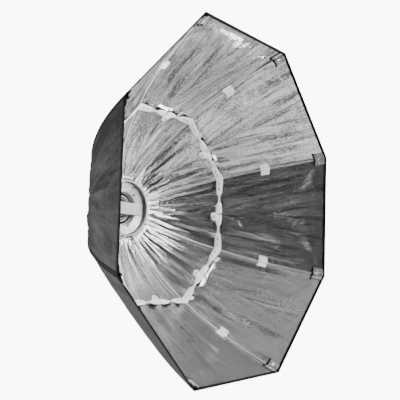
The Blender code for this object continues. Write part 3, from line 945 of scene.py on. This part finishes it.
def make_pocket(k):
    """The webbing pocket that holds a rod's tip: its body, a black mouth, a rivet and an eyelet."""
    step = along(POCKET_AT, 0.001)
    inner = POCKET_AT - 19.5 * step
    pieces = [
        bridge("body", k, POCKET_AT, 0.037, 0.036, -0.0056, 0.0004, 0.0022, GREY_TAPE, 12),
        bridge("mouth", k, inner + 2.0 * step, 0.0052, 0.039, -0.0064, -0.0002, 0.0030, BLACK_TAPE, 4),
        bridge("end", k, POCKET_AT + 16.5 * step, 0.0050, 0.039, -0.0062, 0.0, 0.0030, BLACK_TAPE, 4),
        snap("rivet", k, POCKET_AT - 7 * step, 0.0, -0.0064, 0.0042, FITTING),
        snap("eyelet", k, POCKET_AT + 7 * step, 0.0, -0.0064, 0.0028, DARK_METAL),
        snap("rivet", k, POCKET_AT - 4 * step, 0.0125, -0.0008, 0.0026, FITTING),
        snap("rivet", k, POCKET_AT - 4 * step, -0.0125, -0.0008, 0.0026, FITTING),
    ]
    pocket = joined(f"tip_pocket_{k}", pieces)
    ride_and_gather(pocket, k)
    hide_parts(f"corner_pocket_{k}")


# ---------------------------------------------------------------- ring


def dress(node, mat):
    """A CAD node keeps its shape and gets a finished material."""
    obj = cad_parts[node]
    obj.data.materials.clear()
    obj.data.materials.append(mat)


def turned_metal(name, grey, roughness, pitch):
    """Metal with the fine rings that a lathe leaves round the Y axis."""
    mat, nodes, links, shader = shader_of(name, (grey,) * 3, roughness, 1.0)
    place = object_place(nodes)
    axes = axes_of(nodes, links, place)
    squares = [maths(nodes, links, "POWER", axes[axis], 2.0) for axis in ("X", "Z")]
    radius = maths(nodes, links, "SQRT", maths(nodes, links, "ADD", *squares), 0.0)
    ridge, wide = [
        maths(nodes, links, "SINE", maths(nodes, links, "MULTIPLY", radius, 2 * math.pi / gap), 0.0)
        for gap in (pitch, 4.6 * pitch)
    ]
    wear = noise_node(nodes, links, place, 60.0, 4.0, 0.6)
    tone = maths(nodes, links, "ADD", maths(nodes, links, "MULTIPLY", wide, 0.22), wear)
    links.new(ramp(nodes, links, tone, ((0.25, grey * 0.62), (0.72, grey))), shader.inputs["Base Color"])
    gloss = ((0.3, roughness - 0.06), (0.8, roughness + 0.10))
    links.new(ramp(nodes, links, wear, gloss), shader.inputs["Roughness"])
    level = bump(nodes, links, shader, ridge, 0.35, 0.00025)
    bump(nodes, links, shader, wide, 0.5, 0.0007, level)
    return mat


def add_to_body(piece, body):
    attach(piece, body)


def screw(name, x, y, z, radius, body, turn):
    """A cross-head pan screw facing -Y."""
    profile = [(0, 0.30), (0.45, 0.28), (0.80, 0.18), (0.97, 0.02), (1.0, -0.18), (1.0, -0.45), (0, -0.45)]
    piece = turned(name, [(r * radius, -h * radius) for r, h in profile], FITTING, 40)
    bm = bmesh.new()
    bm.from_mesh(piece.data)
    for vert in bm.verts:
        a = math.atan2(vert.co.z, vert.co.x) - turn
        reach = math.hypot(vert.co.x, vert.co.z) / radius
        near = min(abs(math.sin(a)), abs(math.cos(a))) * reach
        if reach < 0.6 and near < 0.16 and vert.co.y < 0:
            vert.co.y += 0.30 * radius
        vert.co += Vector((x, y, z))
    bm.to_mesh(piece.data)
    bm.free()
    add_to_body(piece, body)


def make_ring():
    turned_face = turned_metal("turned_aluminium", 0.46, 0.30, 0.0016)
    dress("ring_body", RING_METAL)
    dress("insert_ring", turned_face)
    dress("cap_grip_bar", RING_METAL)
    for node in ("pivot_cover", "retaining_ring"):
        dress(node, DARK_METAL)
    dress("friction_ring", SLIP_PLASTIC)
    dress("cap_cup", GREY_PLASTIC)

    # raised rings and a boss on the cap's floor
    floor = CAP_FLOOR_Y
    profile = [(0.0, floor - 0.0026), (0.0035, floor - 0.0026), (0.0042, floor - 0.0018), (0.0044, floor)]
    for r in (0.0125, 0.0205, 0.0285, 0.0365):
        top = floor - 0.0010
        profile += [(r, floor), (r + 0.0004, top), (r + 0.0022, top), (r + 0.0026, floor)]
    profile += [(0.0455, floor), (0.0460, floor - 0.0016), (0.0486, floor - 0.0016), (0.0490, floor)]
    profile += [(0.0490, floor + 0.0004), (0.0, floor + 0.0004)]
    add_to_body(turned("cap_floor_rings", profile, GREY_PLASTIC, 144), "cap")
    rear = CAP_REAR_Y
    profile = [(0.0, rear + 0.0018), (0.0070, rear + 0.0018), (0.0080, rear + 0.0010), (0.0084, rear)]
    for r in (0.0180, 0.0320, 0.0440):
        profile += [(r, rear), (r + 0.0004, rear + 0.0012), (r + 0.0018, rear + 0.0012), (r + 0.0022, rear)]
    profile += [(0.0490, rear), (0.0490, rear - 0.0004), (0.0, rear - 0.0004)]
    add_to_body(turned("cap_back_rings", profile, GREY_PLASTIC, 144), "cap")
    for side in (-1, 1):
        screw(f"bar_screw_{side + 2}", side * 0.0625, BAR_FRONT_Y, 0.0, 0.0038, "cap", 0.4 * side)
    for i in range(3):
        angle = math.radians(70 + 120 * i)
        spot = radial(angle) * 0.065
        screw(f"insert_screw_{i + 1}", spot[0], -0.0218, spot[2], 0.0030, "insert", angle)

    for k in range(1, 5):
        make_hook(k)
    make_lacing()


def make_hook(k):
    """A triangular wire hook that holds the collar on the ring."""
    angle = math.pi / 4 + math.pi / 2 * (k - 1)
    out, side = radial(angle), np.array((-math.sin(angle), 0.0, math.cos(angle)))
    y = LIP_Y + 0.0042
    tip = 0.0842
    corners = (
        (tip, 0.0), (0.0905, 0.0066), (0.0955, 0.0050), (0.0962, 0.0), (0.0955, -0.0050), (0.0905, -0.0066),
    )
    path = [out * r + side * t + np.array((0, y + 0.25 * (r - tip), 0)) for r, t in corners]
    path = [*path, path[0]]
    hook = tube(f"wire_hook_{k}", path, 0.0008, FITTING)
    add_to_body(hook, "ring")
    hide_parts(f"collar_hook_{k}")


def make_lacing():
    """White thread that laces the fabric's hem to the collar, in running zigzags between the ears."""
    clear_of_ear = 0.16  # radians
    steps = 60  # four to a zigzag
    for k in ARMS:
        start, end = arm_angle(k) + clear_of_ear, arm_angle(k) + STEP - clear_of_ear
        path = []
        for i in range(steps + 1):
            angle = start + (end - start) * i / steps
            swing = math.sin(math.pi / 2 * i)
            y = HEM_Y - 0.0050 - 0.0006 * swing
            path.append(radial(angle) * (0.0893 + 0.0013 * swing) + np.array((0, y, 0)))
        add_to_body(tube(f"lacing_{k}", path, 0.0010, WHITE_THREAD, 2), "ring")


def make_collar():
    """The gathered elastic collar behind the ears."""
    profile = [(0.1005, -0.0280), (0.1000, -0.0230), (0.0965, -0.0200), (0.0900, -0.0188), (0.0862, -0.0182)]
    profile += [(0.0856, -0.0165), (0.0860, -0.0140), (0.0856, -0.0118)]
    thick = 0.0011
    points = np.array(profile)
    run = np.gradient(points, axis=0)
    side = np.stack((run[:, 1], -run[:, 0]), axis=1)
    side /= np.linalg.norm(side, axis=1, keepdims=True)
    loop = np.concatenate((points + side * thick / 2, (points - side * thick / 2)[::-1]))
    sway = np.concatenate((np.linspace(0.2, 1, 4), np.full(4, 0.5)))
    sway = np.concatenate((sway, sway[::-1]))
    segments = 320
    bm = bmesh.new()
    rings = []
    for i in range(segments):
        angle = 2 * math.pi * i / segments
        ruffle = 0.00045 * math.cos(56 * angle + 0.8 * math.sin(5 * angle))
        ring = [
            bm.verts.new(radial(angle) * (r + ruffle * w * 0.4) + np.array((0, y + ruffle * w, 0)))
            for (r, y), w in zip(loop, sway)
        ]
        rings.append(ring)
    join_around(bm, rings)
    piece = from_bmesh("gathered_collar", bm, BLACK, 60)
    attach(piece, "ring")
    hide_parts("fabric_collar")


# ---------------------------------------------------------------- stage


def panel_light(name, place, aim, size, power):
    data = bpy.data.lights.new(name, "AREA")
    data.shape = "SQUARE"
    data.size = size
    data.energy = power
    obj = added(name, data)
    obj.location = place
    obj.rotation_mode = "QUATERNION"
    obj.rotation_quaternion = (Vector(aim) - Vector(place)).to_track_quat("-Z", "Y")
    obj.visible_camera = False


def make_stage():
    mat, nodes, links, shader = shader_of("pale_floor", (0.6, 0.6, 0.6), 0.7)
    place = object_place(nodes)
    cloudy = noise_node(nodes, links, place, 3.0, 2.0)
    links.new(ramp(nodes, links, cloudy, ((0.2, 0.42), (0.8, 0.46))), shader.inputs["Base Color"])
    bm = bmesh.new()
    bmesh.ops.create_circle(bm, cap_ends=True, segments=96, radius=1.5)
    floor = from_bmesh("floor", bm, mat)
    floor.location = (0, 0, -0.90)

    world = bpy.data.worlds.new("studio")
    bpy.context.scene.world = world
    world.use_nodes = True
    nodes, links = world.node_tree.nodes, world.node_tree.links
    seen = nodes.new("ShaderNodeBackground")
    seen.inputs["Strength"].default_value = 12.0
    lit = nodes["Background"]
    lit.inputs["Color"].default_value = (1, 1, 1, 1)
    lit.inputs["Strength"].default_value = 0.02
    path = nodes.new("ShaderNodeLightPath")
    mix = nodes.new("ShaderNodeMixShader")
    links.new(path.outputs["Is Camera Ray"], mix.inputs[0])
    links.new(lit.outputs[0], mix.inputs[1])
    links.new(seen.outputs[0], mix.inputs[2])
    links.new(mix.outputs[0], nodes["World Output"].inputs["Surface"])

    panel_light("low_right", (2.0, -1.3, -0.5), (0, -0.2, 0), 0.7, 128)
    panel_light("front_right", (1.3, -2.1, 0.7), (0, -0.2, 0), 0.8, 44)
    panel_light("front", (0.5, -2.2, 1.0), (0, -0.2, 0), 0.5, 54)
    panel_light("low_front", (0.6, -2.2, -0.3), (0, -0.2, 0), 0.5, 21)
    panel_light("top", (-0.1, -0.9, 2.2), (0, -0.2, 0), 1.0, 2)
    panel_light("behind", (1.2, 1.5, 2.2), (0, -0.3, 0), 1.8, 110)
    panel_light("left", (-1.6, 0.8, -0.9), (0, -0.2, 0), 0.9, 265)


def make_camera():
    data = bpy.data.cameras.new("camera")
    data.lens = CAMERA_LENS
    data.shift_x, data.shift_y = CAMERA_SHIFT
    camera = added("camera", data)
    camera.location = CAMERA_PLACE
    aim = Vector(CAMERA_AIM)
    turn = Matrix.Rotation(CAMERA_ROLL, 4, aim) @ aim.to_track_quat("-Z", "Y").to_matrix().to_4x4()
    camera.rotation_euler = turn.to_euler()
    bpy.context.scene.camera = camera


make_camera()
make_cloth()
make_binding()
make_seam_tapes()
make_rods()
make_straps()
make_patches()
make_ring()
make_collar()
make_stage()
